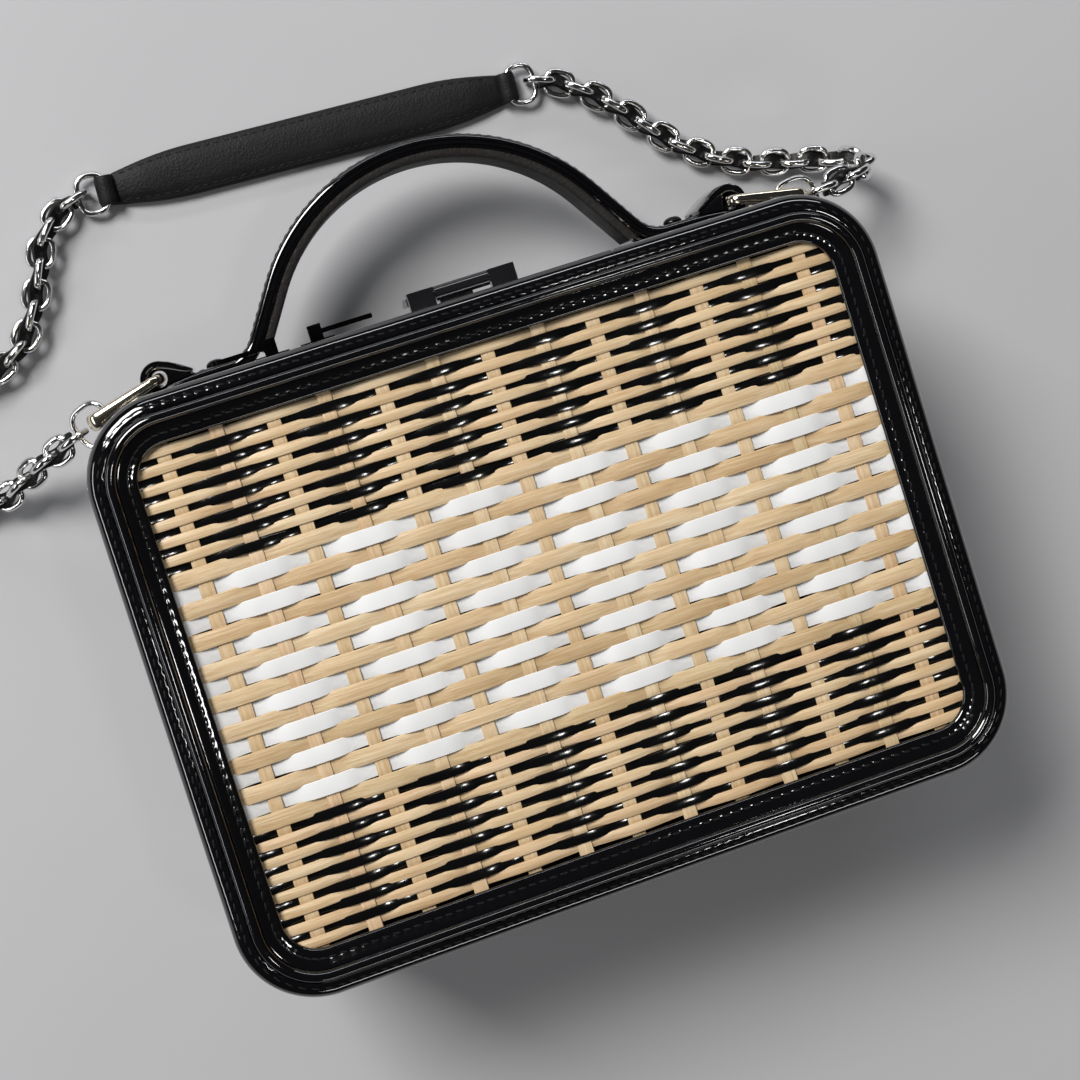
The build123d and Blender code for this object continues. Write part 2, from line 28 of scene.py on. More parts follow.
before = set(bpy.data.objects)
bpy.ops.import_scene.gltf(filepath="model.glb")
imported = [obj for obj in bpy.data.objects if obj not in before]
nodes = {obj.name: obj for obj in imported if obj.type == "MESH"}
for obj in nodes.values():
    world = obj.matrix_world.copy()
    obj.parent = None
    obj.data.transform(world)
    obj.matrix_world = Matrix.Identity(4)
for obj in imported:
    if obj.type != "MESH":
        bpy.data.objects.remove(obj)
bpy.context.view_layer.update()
MM = 0.001
TAU = 2 * math.pi
scatter = random.Random(7)

# Sizes of the case, as in the part. Radii run from the centres of its rounded corners.
CASE_WIDTH, CASE_HEIGHT = 204, 153
CORE_X, CORE_Y = 81.0, 55.5          # centres of the rounded corners
WINDOW_R, WALL_R, SEAM_R = 8.8, 19.7, 15.0   # the seam radius measures runs round corners
CASE_DEPTH, LIP_LEVEL = 80.0, 75.9
BODY_PLATE, BODY_RIM = 6.9, 48.5
LID_RIM, STRIP_LEVEL = 55.5, 73.1
SPLIT = 52.0
HANDLE_Z, WALL_TOP = 26.0, 75.2


# Mesh building

THREAD_SIDES = 6


class Build:
    """Points and faces of one piece, with a tone for each point."""

    def __init__(self):
        self.points, self.faces, self.tones, self.tints = [], [], [], []

    def loft(self, rings, closed=False, tone=0.5, tint=0.5):
        """Join rings of equal count into a skin, closed into a loop or capped at both ends."""
        size, count, base = len(rings[0]), len(rings), len(self.points)
        for ring in rings:
            self.points.extend(ring)
        self.tones.extend([tone] * (size * count))
        self.tints.extend([tint] * (size * count))
        for i in range(count if closed else count - 1):
            a, b = base + i * size, base + (i + 1) % count * size
            for j in range(size):
                k = (j + 1) % size
                self.faces.append((a + j, a + k, b + k, b + j))
        if not closed:
            self.faces.append(tuple(base + j for j in reversed(range(size))))
            self.faces.append(tuple(base + (count - 1) * size + j for j in range(size)))

    def capsule(self, middle, along, side, up, length, width, height):
        """A short thread: a rounded bar that dips at both ends."""
        rings = []
        for t, r in ((-0.5, 0.25), (-0.42, 0.75), (-0.2, 1.0), (0.2, 1.0), (0.42, 0.75), (0.5, 0.25)):
            centre = middle + along * (t * length) - up * (height * 2.4 * t * t)
            rings.append([])
            for j in range(THREAD_SIDES):
                turn = TAU * j / THREAD_SIDES
                rings[-1].append(centre + side * (width * r * math.cos(turn)) + up * (height * r * math.sin(turn)))
        self.loft(rings)

    def block(self, middle, along, side, up, length, width, height, cut):
        """A small block with its long edges cut."""
        w, h = width / 2, height / 2
        c = cut * min(w, h)
        shape = [
            (-w + c, -h), (w - c, -h), (w, -h + c), (w, h - c),
            (w - c, h), (-w + c, h), (-w, h - c), (-w, -h + c),
        ]
        ends = [middle + along * (way * length / 2) for way in (-1, 1)]
        self.loft([[end + side * a + up * b for a, b in shape] for end in ends])


def piece(name, build, material, body, replaces=()):
    """Make an object from a build, riding on a body."""
    mesh = bpy.data.meshes.new(name)
    mesh.from_pydata([tuple(MM * c for c in point) for point in build.points], [], build.faces)
    for key, values in (("tone", build.tones), ("tint", build.tints)):
        mesh.attributes.new(key, "FLOAT", "POINT").data.foreach_set("value", values)
    mesh.polygons.foreach_set("use_smooth", [True] * len(mesh.polygons))
    work = bmesh.new()
    work.from_mesh(mesh)
    bmesh.ops.recalc_face_normals(work, faces=work.faces)
    work.to_mesh(mesh)
    work.free()
    obj = bpy.data.objects.new(name, mesh)
    bpy.context.scene.collection.objects.link(obj)
    mesh.materials.append(material)
    mesh.set_sharp_from_angle(angle=math.radians(40))
    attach(obj, body)
    if replaces:
        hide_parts(*replaces)
    return obj


def outline(step, corner_steps, gap_side=False):
    """Samples round the case: point on the corner centres' outline, outward normal and distance run.

    With a gap, the samples start and end at the corners of the hinge side.
    """
    samples, run = [], 0.0
    corners = [(CORE_X, CORE_Y, 0), (-CORE_X, CORE_Y, 90), (-CORE_X, -CORE_Y, 180), (CORE_X, -CORE_Y, 270)]
    start = Vector((CORE_X, -CORE_Y, 0))
    for x, y, angle in corners:
        centre = Vector((x, y, 0))
        side = centre - start
        normal = Vector((math.cos(math.radians(angle)), math.sin(math.radians(angle)), 0))
        count = max(1, round(side.length / step))
        for i in range(count):
            samples.append((start + side * (i / count), normal, run + side.length * i / count))
        run += side.length
        for i in range(corner_steps):
            turn = math.radians(angle + 90 * i / corner_steps)
            turned = Vector((math.cos(turn), math.sin(turn), 0))
            samples.append((centre, turned, run + SEAM_R * math.pi / 2 * i / corner_steps))
        run += SEAM_R * math.pi / 2
        start = centre
    if gap_side:
        keep = [s for s in samples if not (s[1].y < -0.999 and abs(s[0].x) < CORE_X - 0.01)]
        first = next(i for i, s in enumerate(keep) if s[0].x > CORE_X - 0.01 and s[1].y < -0.99)
        samples = keep[first:] + keep[:first]
    return samples, run


UP = Vector((0, 0, 1))


def lid_level(h):
    """Height of a place over the lip of the lid's frame."""
    return LIP_LEVEL + h


def body_level(h):
    """The same on the back, where over the lip is down."""
    return CASE_DEPTH - LIP_LEVEL - h


# Materials

def nodes_of(name):
    material = bpy.data.materials.new(name)
    material.use_nodes = True
    tree = material.node_tree
    shader = tree.nodes["Principled BSDF"]
    return material, tree, shader


def add(tree, kind, inputs=None, **settings):
    node = tree.nodes.new(kind)
    for key, value in settings.items():
        setattr(node, key, value)
    for key, value in (inputs or {}).items():
        if isinstance(value, bpy.types.NodeSocket):
            tree.links.new(value, node.inputs[key])
        else:
            node.inputs[key].default_value = value
    return node


def place(tree, scale):
    """Object coordinates stretched by a scale."""
    coords = add(tree, "ShaderNodeTexCoord").outputs["Object"]
    return add(tree, "ShaderNodeMapping", {"Vector": coords, "Scale": scale}).outputs["Vector"]


def ramp(tree, factor, stops):
    node = add(tree, "ShaderNodeValToRGB", {"Fac": factor})
    band = node.color_ramp
    while len(band.elements) < len(stops):
        band.elements.new(0.5)
    for element, (where, colour) in zip(band.elements, stops):
        element.position = where
        element.color = (*colour, 1)
    return node.outputs["Color"]


def mix(tree, factor, a, b, blend="MIX"):
    node = add(tree, "ShaderNodeMix", data_type="RGBA", blend_type=blend)
    for key, value in ((0, factor), (6, a), (7, b)):
        if isinstance(value, bpy.types.NodeSocket):
            tree.links.new(value, node.inputs[key])
        else:
            node.inputs[key].default_value = value if key == 0 else (*value, 1)
    return node.outputs[2]


def level(tree, value, low, high):
    node = add(tree, "ShaderNodeMapRange", {"Value": value, "To Min": low, "To Max": high})
    return node.outputs["Result"]


def bump(tree, shader, height, distance):
    node = add(tree, "ShaderNodeBump", {"Height": height, "Distance": distance, "Strength": 1.0})
    tree.links.new(node.outputs["Normal"], shader.inputs["Normal"])


def noise(tree, vector, scale, detail=3.0, rough=0.55):
    inputs = {"Vector": vector, "Scale": scale, "Detail": detail, "Roughness": rough}
    return add(tree, "ShaderNodeTexNoise", inputs).outputs["Fac"]


def patent_leather(name, colour, gloss, ripple):
    material, tree, shader = nodes_of(name)
    spot = place(tree, (1, 1, 1))
    broad = noise(tree, spot, 130, 2.0)
    fine = noise(tree, spot, 900, 2.0)
    paler = tuple(c * 1.7 + 0.0006 for c in colour)
    tree.links.new(mix(tree, broad, colour, paler), shader.inputs["Base Color"])
    tree.links.new(level(tree, fine, gloss * 0.6, gloss * 1.6), shader.inputs["Roughness"])
    shader.inputs["IOR"].default_value = 1.52
    shader.inputs["Coat Weight"].default_value = 0.6
    shader.inputs["Coat Roughness"].default_value = 0.04
    both = add(tree, "ShaderNodeMath", {0: broad, 1: level(tree, fine, 0, 0.12)}, operation="ADD").outputs[0]
    bump(tree, shader, both, ripple)
    return material


def grained_leather(name, colour, rough, grain=1500, depth=0.00008):
    material, tree, shader = nodes_of(name)
    spot = place(tree, (1, 1, 1))
    cells = add(tree, "ShaderNodeTexVoronoi", {"Vector": spot, "Scale": grain}).outputs["Distance"]
    cloud = noise(tree, spot, 160, 4.0)
    dark, pale = tuple(c * 0.7 for c in colour), tuple(c * 1.6 for c in colour)
    tree.links.new(mix(tree, cloud, dark, pale), shader.inputs["Base Color"])
    tree.links.new(level(tree, cloud, rough - 0.12, rough + 0.12), shader.inputs["Roughness"])
    shader.inputs["IOR"].default_value = 1.28
    both = add(tree, "ShaderNodeMath", {0: cells, 1: cloud}, operation="ADD").outputs[0]
    bump(tree, shader, both, depth)
    return material


def rattan_cane(name, along_x):
    """Cane with fibres along one axis, coloured by each strand's own tone and tint."""
    material, tree, shader = nodes_of(name)
    stretch = (14, 420, 420) if along_x else (420, 14, 420)
    tone = add(tree, "ShaderNodeAttribute", attribute_name="tone").outputs["Fac"]
    tint = add(tree, "ShaderNodeAttribute", attribute_name="tint").outputs["Fac"]
    coords = add(tree, "ShaderNodeTexCoord").outputs["Object"]
    apart = {0: level(tree, tone, 0, 3), 1: level(tree, tint, 0, 1), 2: tone}
    shift = add(tree, "ShaderNodeCombineXYZ", apart).outputs[0]
    moved = add(tree, "ShaderNodeVectorMath", {0: coords, 1: shift}, operation="ADD").outputs[0]
    long = add(tree, "ShaderNodeMapping", {"Vector": moved, "Scale": stretch}).outputs["Vector"]
    fibre = noise(tree, long, 3.0, 4.0, 0.65)
    blotch = noise(tree, moved, 38, 2.0)
    base = ramp(tree, tone, [
        (0.0, (0.57, 0.43, 0.26)), (0.3, (0.67, 0.54, 0.36)),
        (0.6, (0.74, 0.625, 0.44)), (1.0, (0.79, 0.70, 0.53)),
    ])
    hue = ramp(tree, tint, [
        (0.0, (0.60, 0.55, 0.33)), (0.14, (0.78, 0.67, 0.47)),
        (0.82, (0.80, 0.67, 0.46)), (1.0, (0.78, 0.54, 0.38)),
    ])
    base = mix(tree, 0.35, base, hue)
    streak = mix(tree, level(tree, fibre, -0.6, 1.35), (0.62, 0.48, 0.33), (1.0, 1.0, 1.0))
    base = mix(tree, 0.8, base, streak, "MULTIPLY")
    stain = mix(tree, level(tree, blotch, -0.5, 1.3), (0.78, 0.66, 0.50), (1.0, 1.0, 1.0))
    base = mix(tree, 0.6, base, stain, "MULTIPLY")
    tree.links.new(base, shader.inputs["Base Color"])
    tree.links.new(level(tree, fibre, 0.30, 0.55), shader.inputs["Roughness"])
    shader.inputs["Coat Weight"].default_value = 0.15
    shader.inputs["Coat Roughness"].default_value = 0.25
    bump(tree, shader, fibre, 0.00022)
    return material


def white_leather(name):
    material, tree, shader = nodes_of(name)
    spot = place(tree, (1, 1, 1))
    cloud = noise(tree, spot, 90, 3.0)
    fine = noise(tree, spot, 1800, 2.0)
    tree.links.new(mix(tree, cloud, (0.62, 0.625, 0.63), (0.72, 0.72, 0.72)), shader.inputs["Base Color"])
    tree.links.new(level(tree, cloud, 0.48, 0.66), shader.inputs["Roughness"])
    shader.inputs["IOR"].default_value = 1.4
    both = add(tree, "ShaderNodeMath", {0: cloud, 1: level(tree, fine, 0, 0.15)}, operation="ADD").outputs[0]
    bump(tree, shader, both, 0.00012)
    return material


def metal(name, colour, rough):
    material, tree, shader = nodes_of(name)
    spot = place(tree, (1, 1, 1))
    cloud = noise(tree, spot, 220, 3.0)
    brushed = noise(tree, place(tree, (1, 14, 14)), 400, 2.0)
    tree.links.new(mix(tree, cloud, tuple(c * 0.88 for c in colour), colour), shader.inputs["Base Color"])
    shader.inputs["Metallic"].default_value = 1.0
    tree.links.new(level(tree, cloud, rough * 0.6, rough * 1.5), shader.inputs["Roughness"])
    bump(tree, shader, brushed, 0.000003)
    return material


def woven_cloth(name, colour, threads):
    material, tree, shader = nodes_of(name)
    spot = place(tree, (1, 1, 1))
    inputs = {"Vector": spot, "Scale": threads, "Distortion": 0.4}
    waves = [add(tree, "ShaderNodeTexWave", inputs, bands_direction=way).outputs["Fac"] for way in "XYZ"]
    grid = add(tree, "ShaderNodeMath", {0: waves[0], 1: waves[1]}, operation="MULTIPLY").outputs[0]
    grid = add(tree, "ShaderNodeMath", {0: grid, 1: waves[2]}, operation="ADD").outputs[0]
    cloud = noise(tree, spot, 60, 3.0)
    base = mix(tree, cloud, tuple(c * 0.8 for c in colour), tuple(min(1, c * 1.15) for c in colour))
    base = mix(tree, level(tree, grid, 0.5, 0.1), base, tuple(c * 0.6 for c in colour))
    tree.links.new(base, shader.inputs["Base Color"])
    shader.inputs["Roughness"].default_value = 0.85
    shader.inputs["Sheen Weight"].default_value = 0.25
    bump(tree, shader, grid, 0.00012)
    return material


PATENT = patent_leather("patent", (0.0014, 0.0014, 0.0018), 0.06, 0.00008)
WALL_PATENT = patent_leather("wall_patent", (0.002, 0.002, 0.0025), 0.09, 0.00015)
BLACK_STRIP = patent_leather("black_strip", (0.0014, 0.0014, 0.0014), 0.12, 0.00014)
INLAY = patent_leather("inlay", (0.006, 0.006, 0.007), 0.06, 0.00002)
MATTE = grained_leather("matte_leather", (0.005, 0.005, 0.0054), 0.55)
UNDERSIDE = grained_leather("handle_lining", (0.014, 0.0125, 0.0118), 0.5, 1100, 0.0001)
THREAD = grained_leather("thread", (0.006, 0.006, 0.0065), 0.55, 3000, 0.00005)
LACE = grained_leather("lace", (0.004, 0.004, 0.004), 0.42, 1600, 0.00006)
CANE_X = rattan_cane("rattan_weft", True)
CANE_Y = rattan_cane("rattan_stake", False)
WHITE = white_leather("white_strip")
SILVER = metal("silver", (0.80, 0.79, 0.78), 0.13)
GOLD = metal("pale_gold", (0.86, 0.78, 0.63), 0.13)
DARK = metal("dark_metal", (0.024, 0.023, 0.023), 0.2)
TEETH = metal("zip_teeth", (0.72, 0.60, 0.36), 0.25)
TAPE = woven_cloth("zip_tape", (0.012, 0.012, 0.013), 900)
LINING = woven_cloth("lining", (0.50, 0.455, 0.385), 520)


# Woven panels

STAKE_PITCH = 13.7
WIDE_PITCH, THIN_PITCH, JOIN_PITCH = 7.83, 4.35, 5.26
wide_rows = [(row - 4) * WIDE_PITCH for row in range(9)]
thin_half = [wide_rows[-1] + JOIN_PITCH + row * THIN_PITCH for row in range(7)]
thin_rows = thin_half + [-y for y in thin_half]
white_rows = [(row - 3.5) * WIDE_PITCH for row in range(8)]
black_half = [wide_rows[-1] + JOIN_PITCH / 2] + [y - THIN_PITCH / 2 for y in thin_half[1:]]
black_rows = black_half + [-y for y in black_half]

# Sections of a strand, as shares of half its width and half its thickness
CANE_SHAPE = [
    (-1, -0.1), (-0.9, 0.55), (-0.5, 0.9), (0, 1), (0.5, 0.9), (0.9, 0.55), (1, -0.1),
    (0.75, -0.85), (-0.75, -0.85),
]
STRIP_SHAPE = [
    (-1, 0.1), (-0.93, 0.75), (-0.5, 0.97), (0, 1), (0.5, 0.97), (0.93, 0.75), (1, 0.1),
    (0.9, -0.8), (-0.9, -0.8),
]
TUCK_R = WINDOW_R + 1.9              # how far the strands reach under the frame
MID = -1.35                          # middle of the weave, from the frame's lip
STAKE_HALF, STAKE_HALF_THICK = 1.8, 0.36
STRAND_STEP = 1.5


def reach_x(y):
    """Half the length of a strand along the case at a height on the panel."""
    over = abs(y) - CORE_Y
    return CORE_X + (TUCK_R if over <= 0 else math.sqrt(max(0.0, TUCK_R ** 2 - over ** 2)))


def reach_y(x):
    """Half the length of a stake at a place along the panel."""
    over = abs(x) - CORE_X
    return CORE_Y + (TUCK_R if over <= 0 else math.sqrt(max(0.0, TUCK_R ** 2 - over ** 2)))


def swing(x, snap):
    """One at the stakes that show, minus one midway between them; a larger snap stays longer at both."""
    return math.tanh(snap * math.cos(math.pi * x / STAKE_PITCH)) / math.tanh(snap)


def weft(build, y, width, wide_by, thick, mid, rise, snap, shape, level_of, tone, jitter):
    """One strand along the case: it rises at the stakes that show and widens there by wide_by."""
    end = reach_x(y)
    count = round(2 * end / STRAND_STEP)
    phase, drift = scatter.uniform(0, TAU), scatter.uniform(-jitter, jitter)
    rings = []
    for i in range(count + 1):
        x = -end + 2 * end * i / count
        s = swing(x, snap)
        w = (width + wide_by * s) / 2
        h = mid + rise * s
        mid_y = y + drift + jitter * math.sin(x / 23 + phase) + 0.5 * jitter * math.sin(x / 6 + 2 * phase)
        tilt = 0.06 * math.sin(x / 9 + phase)
        rings.append([
            Vector((x, mid_y + a * w, level_of(h + b * thick / 2 + tilt * a * w))) for a, b in shape
        ])
    build.loft(rings, tone=tone, tint=scatter.random())


def weave(side, level_of, body):
    """A whole panel: cane strands, stakes, black strips and white strips."""
    reeds, stakes, blacks, whites = Build(), Build(), Build(), Build()
    for y in wide_rows:
        tone = scatter.uniform(0.1, 0.85)
        weft(reeds, y, 4.35, -0.3, 1.0, MID, 0.42, 0.6, CANE_SHAPE, level_of, tone, 0.1)
    for y in thin_rows:
        tone = scatter.uniform(0.35, 1.0)
        weft(reeds, y, 2.5, 0.12, 0.95, MID, 0.42, 0.6, CANE_SHAPE, level_of, tone, 0.13)
    for y in white_rows:
        tone = scatter.random()
        weft(whites, y, 4.1, -0.22, 0.75, MID - 0.05, -0.84, 1.9, STRIP_SHAPE, level_of, tone, 0.09)
    for y in black_rows:
        tone = scatter.random()
        weft(blacks, y, 2.3, -0.2, 0.75, MID - 0.1, -0.72, 1.2, STRIP_SHAPE, level_of, tone, 0.12)
    rows = sorted([(y, -1) for y in wide_rows + thin_rows] + [(y, 1) for y in white_rows + black_rows])
    for k in range(-6, 7):
        x, shows = k * STAKE_PITCH, k % 2 == 0
        end = reach_y(x)
        rings = []
        bend, lean = scatter.uniform(0, TAU), scatter.uniform(-0.25, 0.25)
        places = [-end] + [y for y, _ in rows if abs(y) < end] + [end]
        fine = []
        for a, b in zip(places, places[1:]):
            fine += [a + (b - a) * third / 3 for third in range(3)]
        for y in fine + [end]:
            below = max((r for r in rows if r[0] <= y), default=rows[0])
            above = min((r for r in rows if r[0] > y), default=rows[-1])
            span = above[0] - below[0]
            share = 0.5 - 0.5 * math.cos(math.pi * (y - below[0]) / span) if span else 0
            side_of = below[1] + (above[1] - below[1]) * share
            h = MID - 0.3 + 0.22 * side_of if shows else MID + 0.08 - 0.26 * side_of
            w = STAKE_HALF + 0.06 * math.sin(y / 11 + bend)
            mid_x = x + lean + 0.2 * math.sin(y / 29 + bend)
            rings.append([
                Vector((mid_x + a * w, y, level_of(h + b * STAKE_HALF_THICK))) for a, b in STRIP_SHAPE
            ])
        stakes.loft(rings, tone=scatter.uniform(0.35, 0.95), tint=scatter.random())
    piece(f"{side}_weave_reeds", reeds, CANE_X, body, [f"{side}_reeds"])
    piece(f"{side}_weave_stakes", stakes, CANE_Y, body, [f"{side}_stakes"])
    piece(f"{side}_weave_black", blacks, BLACK_STRIP, body, [f"{side}_black_strips"])
    piece(f"{side}_weave_white", whites, WHITE, body, [f"{side}_white_strips"])


weave("lid", lid_level, "lid")
weave("body", body_level, "body")


# Moulded frames, with a bead between two stitched bands

# Section of a frame: distance out from the window's edge, and height over the lip
FRAME_TOP = 4.08
FRAME_SHAPE = [
    (4.2, -0.25), (0.3, -0.25), (0.05, 0.1), (0.0, 0.55), (0.14, 0.95), (0.45, 1.22), (0.9, 1.38), (1.5, 1.5),
    (2.0, 1.62), (2.35, 1.72), (2.7, 1.84), (3.2, 2.08), (3.8, 2.38), (4.4, 2.62), (4.72, 2.66), (4.84, 2.5),
    (4.9, 2.85), (5.05, 3.3), (5.4, 3.72), (5.82, 3.98), (6.3, 4.08), (6.78, 3.98), (7.2, 3.72), (7.55, 3.3),
    (7.7, 2.85), (7.78, 2.5), (7.95, 2.72), (8.4, 2.82), (8.9, 2.76), (9.25, 2.68), (9.6, 2.56), (10.1, 2.36),
    (10.7, 2.02), (11.25, 1.55), (11.7, 0.95), (12.0, 0.25), (12.15, -0.6), (12.18, -1.6), (12.1, -2.4),
    (11.9, -2.78), (4.2, -2.78),
]
STITCH_PITCH = 2.7
STITCH_ROWS, STITCH_RISES = (2.35, 9.25), (1.66, 2.58)
FRAME_STEP, FRAME_CORNER_STEPS = 0.62, 38


def pucker(u, s):
    """How far a stitched band is drawn in at a place across and along the frame."""
    drop = 0.0
    for row in STITCH_ROWS:
        near = math.exp(-((u - row) / 0.34) ** 2)
        wide = math.exp(-((u - row) / 1.1) ** 2)
        beat = 0.5 + 0.5 * math.cos(TAU * s / STITCH_PITCH)
        drop += near * (0.07 + 0.06 * beat) + 0.03 * wide * beat
    return drop


def moulding(side, level_of, body):
    """A whole frame and its two rows of stitches."""
    samples, run = outline(FRAME_STEP, FRAME_CORNER_STEPS)
    pitch_fit = run / STITCH_PITCH / round(run / STITCH_PITCH)
    build, thread = Build(), Build()
    rings = []
    for core, normal, s in samples:
        sway = 0.05 * math.sin(s / 17.0) + 0.04 * math.sin(s / 6.1 + 1.3)
        ring = []
        for u, h in FRAME_SHAPE:
            fall = pucker(u, s / pitch_fit) if h > 1 else 0.0
            lift = sway * min(1.0, max(0.0, h / 3)) if u < 12 else 0.0
            point = core + normal * (WINDOW_R + u)
            ring.append(Vector((point.x, point.y, level_of(min(FRAME_TOP, h - fall + lift)))))
        rings.append(ring)
    build.loft(rings, closed=True)
    count = round(run / STITCH_PITCH)
    for row, rise in zip(STITCH_ROWS, STITCH_RISES):
        for i in range(count):
            s = (i + 0.5) * run / count
            j = max(k for k in range(len(samples)) if samples[k][2] <= s)
            a, b = samples[j], samples[(j + 1) % len(samples)]
            share = (s - a[2]) / ((b[2] if b[2] > a[2] else run) - a[2])
            core = a[0].lerp(b[0], share)
            normal = a[1].lerp(b[1], share).normalized()
            point = core + normal * (WINDOW_R + row)
            middle = Vector((point.x, point.y, level_of(rise)))
            along = UP.cross(normal)
            along = (along + normal * 0.12).normalized()
            up = Vector((0, 0, level_of(1) - level_of(0)))
            thread.capsule(middle, along, normal, up, 2.1, 0.26, 0.2)
    piece(f"{side}_moulding", build, PATENT, body, [f"{side}_frame"])
    piece(f"{side}_frame_stitches", thread, THREAD, body)


moulding("lid", lid_level, "lid")
moulding("body", body_level, "body")


# Walls and linings: shells lofted round the case's outline

def shell(loops):
    """A skin through loops of one radius and height each."""
    build = Build()
    samples, _ = outline(6.0, 14)
    build.loft([[Vector((*(core + normal * r).xy, z)) for core, normal, _ in samples] for r, z in loops])
    return build


def wall_loops(start, rim, floor):
    """Outer skin from the plate to the rim, over it and down inside to the floor."""
    way = 1 if rim > start else -1
    loops = [(18.9, start), (19.5, start + way * 0.2), (WALL_R, start + way * 0.8)]
    for share in (0.2, 0.4, 0.6, 0.8):
        loops.append((WALL_R + 0.12 * math.sin(math.pi * share), start + (rim - start) * share))
    loops += [(WALL_R, rim - way * 1.6), (WALL_R - 0.05, rim - way * 1.0)]
    loops += [(WALL_R - 0.35, rim - way * 0.3), (WALL_R - 0.9, rim)]
    loops += [(17.6, rim), (17.15, rim - way * 0.4), (17.1, rim - way * 1.0), (17.1, floor)]
    return loops


BODY_CLOTH = [(17.05, 8.75), (17.05, 47.3), (16.7, 47.5), (16.3, 47.3), (16.25, 12), (15.4, 9.8), (14, 9.5)]
LID_CLOTH = [(17.05, 71.25), (17.05, 56.7), (16.7, 56.5), (16.3, 56.7), (16.25, 68), (15.4, 70.2), (14, 70.5)]
piece("body_shell", shell(wall_loops(BODY_PLATE, BODY_RIM, 8.7)), WALL_PATENT, "body", ["body_wall"])
piece("lid_shell", shell(wall_loops(STRIP_LEVEL, LID_RIM, 71.3)), WALL_PATENT, "lid", ["lid_wall"])
piece("body_cloth", shell(BODY_CLOTH), LINING, "body", ["body_lining"])
piece("lid_cloth", shell(LID_CLOTH), LINING, "lid", ["lid_lining"])


def stitch_line(build, samples, radius, z, pitch, length):
    """Stitches round a wall at one height."""
    last = -pitch
    for core, normal, s in samples:
        if s - last < pitch:
            continue
        last = s
        point = core + normal * radius
        build.capsule(Vector((point.x, point.y, z)), UP.cross(normal), UP, normal, length, 0.22, 0.18)


PLATE_SEAM, RIM_SEAM = 4.2, 2.6
for side, z_rows in (
    ("body", (BODY_PLATE + PLATE_SEAM, BODY_RIM - RIM_SEAM)),
    ("lid", (STRIP_LEVEL - PLATE_SEAM, LID_RIM + RIM_SEAM)),
):
    seams = Build()
    fine, _ = outline(0.45, 60)
    for z in z_rows:
        stitch_line(seams, fine, WALL_R + 0.02, z, STITCH_PITCH, 2.0)
    piece(f"{side}_wall_stitches", seams, THREAD, side)


# Zip: tapes with teeth that mesh at the split

TAPE_SHAPE = [
    (17.9, 0.05), (19.35, 0.05), (19.4, 1.2), (19.3, 2.2), (19.55, 2.5), (19.45, 2.9),
    (18.1, 2.9), (17.9, 1.5),
]
TOOTH_R, PITCH_R, TOOTH_PITCH = 18.75, 18.8, 2.2   # the pitch is measured at its own radius


def zip_half(side, z_edge, way):
    """The tape of one half and its teeth, set half a pitch from those of the other half."""
    samples, _ = outline(2.0, 16, gap_side=True)
    tape, teeth = Build(), Build()
    tape.loft([
        [Vector((*(core + normal * r).xy, z_edge + way * z)) for r, z in TAPE_SHAPE]
        for core, normal, _ in samples
    ])
    fine, _ = outline(0.12, 150, gap_side=True)
    run, mark = 0.0, 0.0 if way > 0 else TOOTH_PITCH / 2
    last = fine[0]
    for now in fine[1:]:
        run += (now[0] + now[1] * PITCH_R - last[0] - last[1] * PITCH_R).length
        last = now
        if run < mark:
            continue
        mark += TOOTH_PITCH
        point = now[0] + now[1] * TOOTH_R
        middle = Vector((point.x, point.y, SPLIT - way * 0.25))
        teeth.block(middle, UP, UP.cross(now[1]), now[1], 1.7, 0.85, 1.5, 0.5)
    piece(f"{side}_zip_tape", tape, TAPE, side, [f"zip_half_{side}"])
    piece(f"{side}_zip_teeth", teeth, TEETH, side)


zip_half("body", BODY_RIM, 1)
zip_half("lid", LID_RIM, -1)


# Handle: patent strap with curled ends, its lining and studs

FOOT_PLACE, LOOP_PLACE, LEG_SLOPE = 56.0, 80.0, math.radians(57)
STRAP_AXIS, FOOT_R, ARCH_R, STRAP_THICK = 77.1, 10.0, 53.2, 3.8
LOOP_Y, CURL_R, CURL_THICK, STUD_PLACE, FOOT_TOP = 80.0, 3.5, 2.6, 65.0, 79.0
FOLD_RUN, FOLD_DROP = 7.5, 3.55      # the end of the strap comes back down to the foot
FOLD_SHARES = [                      # shares of the run and the drop, and the thickness there
    (0.2, 0.16, 2.6), (0.4, 0.38, 2.5), (0.6, 0.62, 2.3), (0.8, 0.83, 1.9), (0.93, 0.94, 1.5), (1, 1, 0.9),
]
BORE_R, FILL_HALF = 2.35, 8.75       # the filler behind the curl: its hollow and half its width
EDGE_THICK, HANDLE_SEAM = 3.4, 7.3   # thickness of the strap's section below, and its seams from the middle


def arc(centre, radius, start, end, steps):
    """Points along an arc, angles in degrees."""
    found = []
    for i in range(steps + 1):
        turn = math.radians(start + (end - start) * i / steps)
        found.append(Vector((centre[0] + radius * math.cos(turn), centre[1] + radius * math.sin(turn), 0)))
    return found


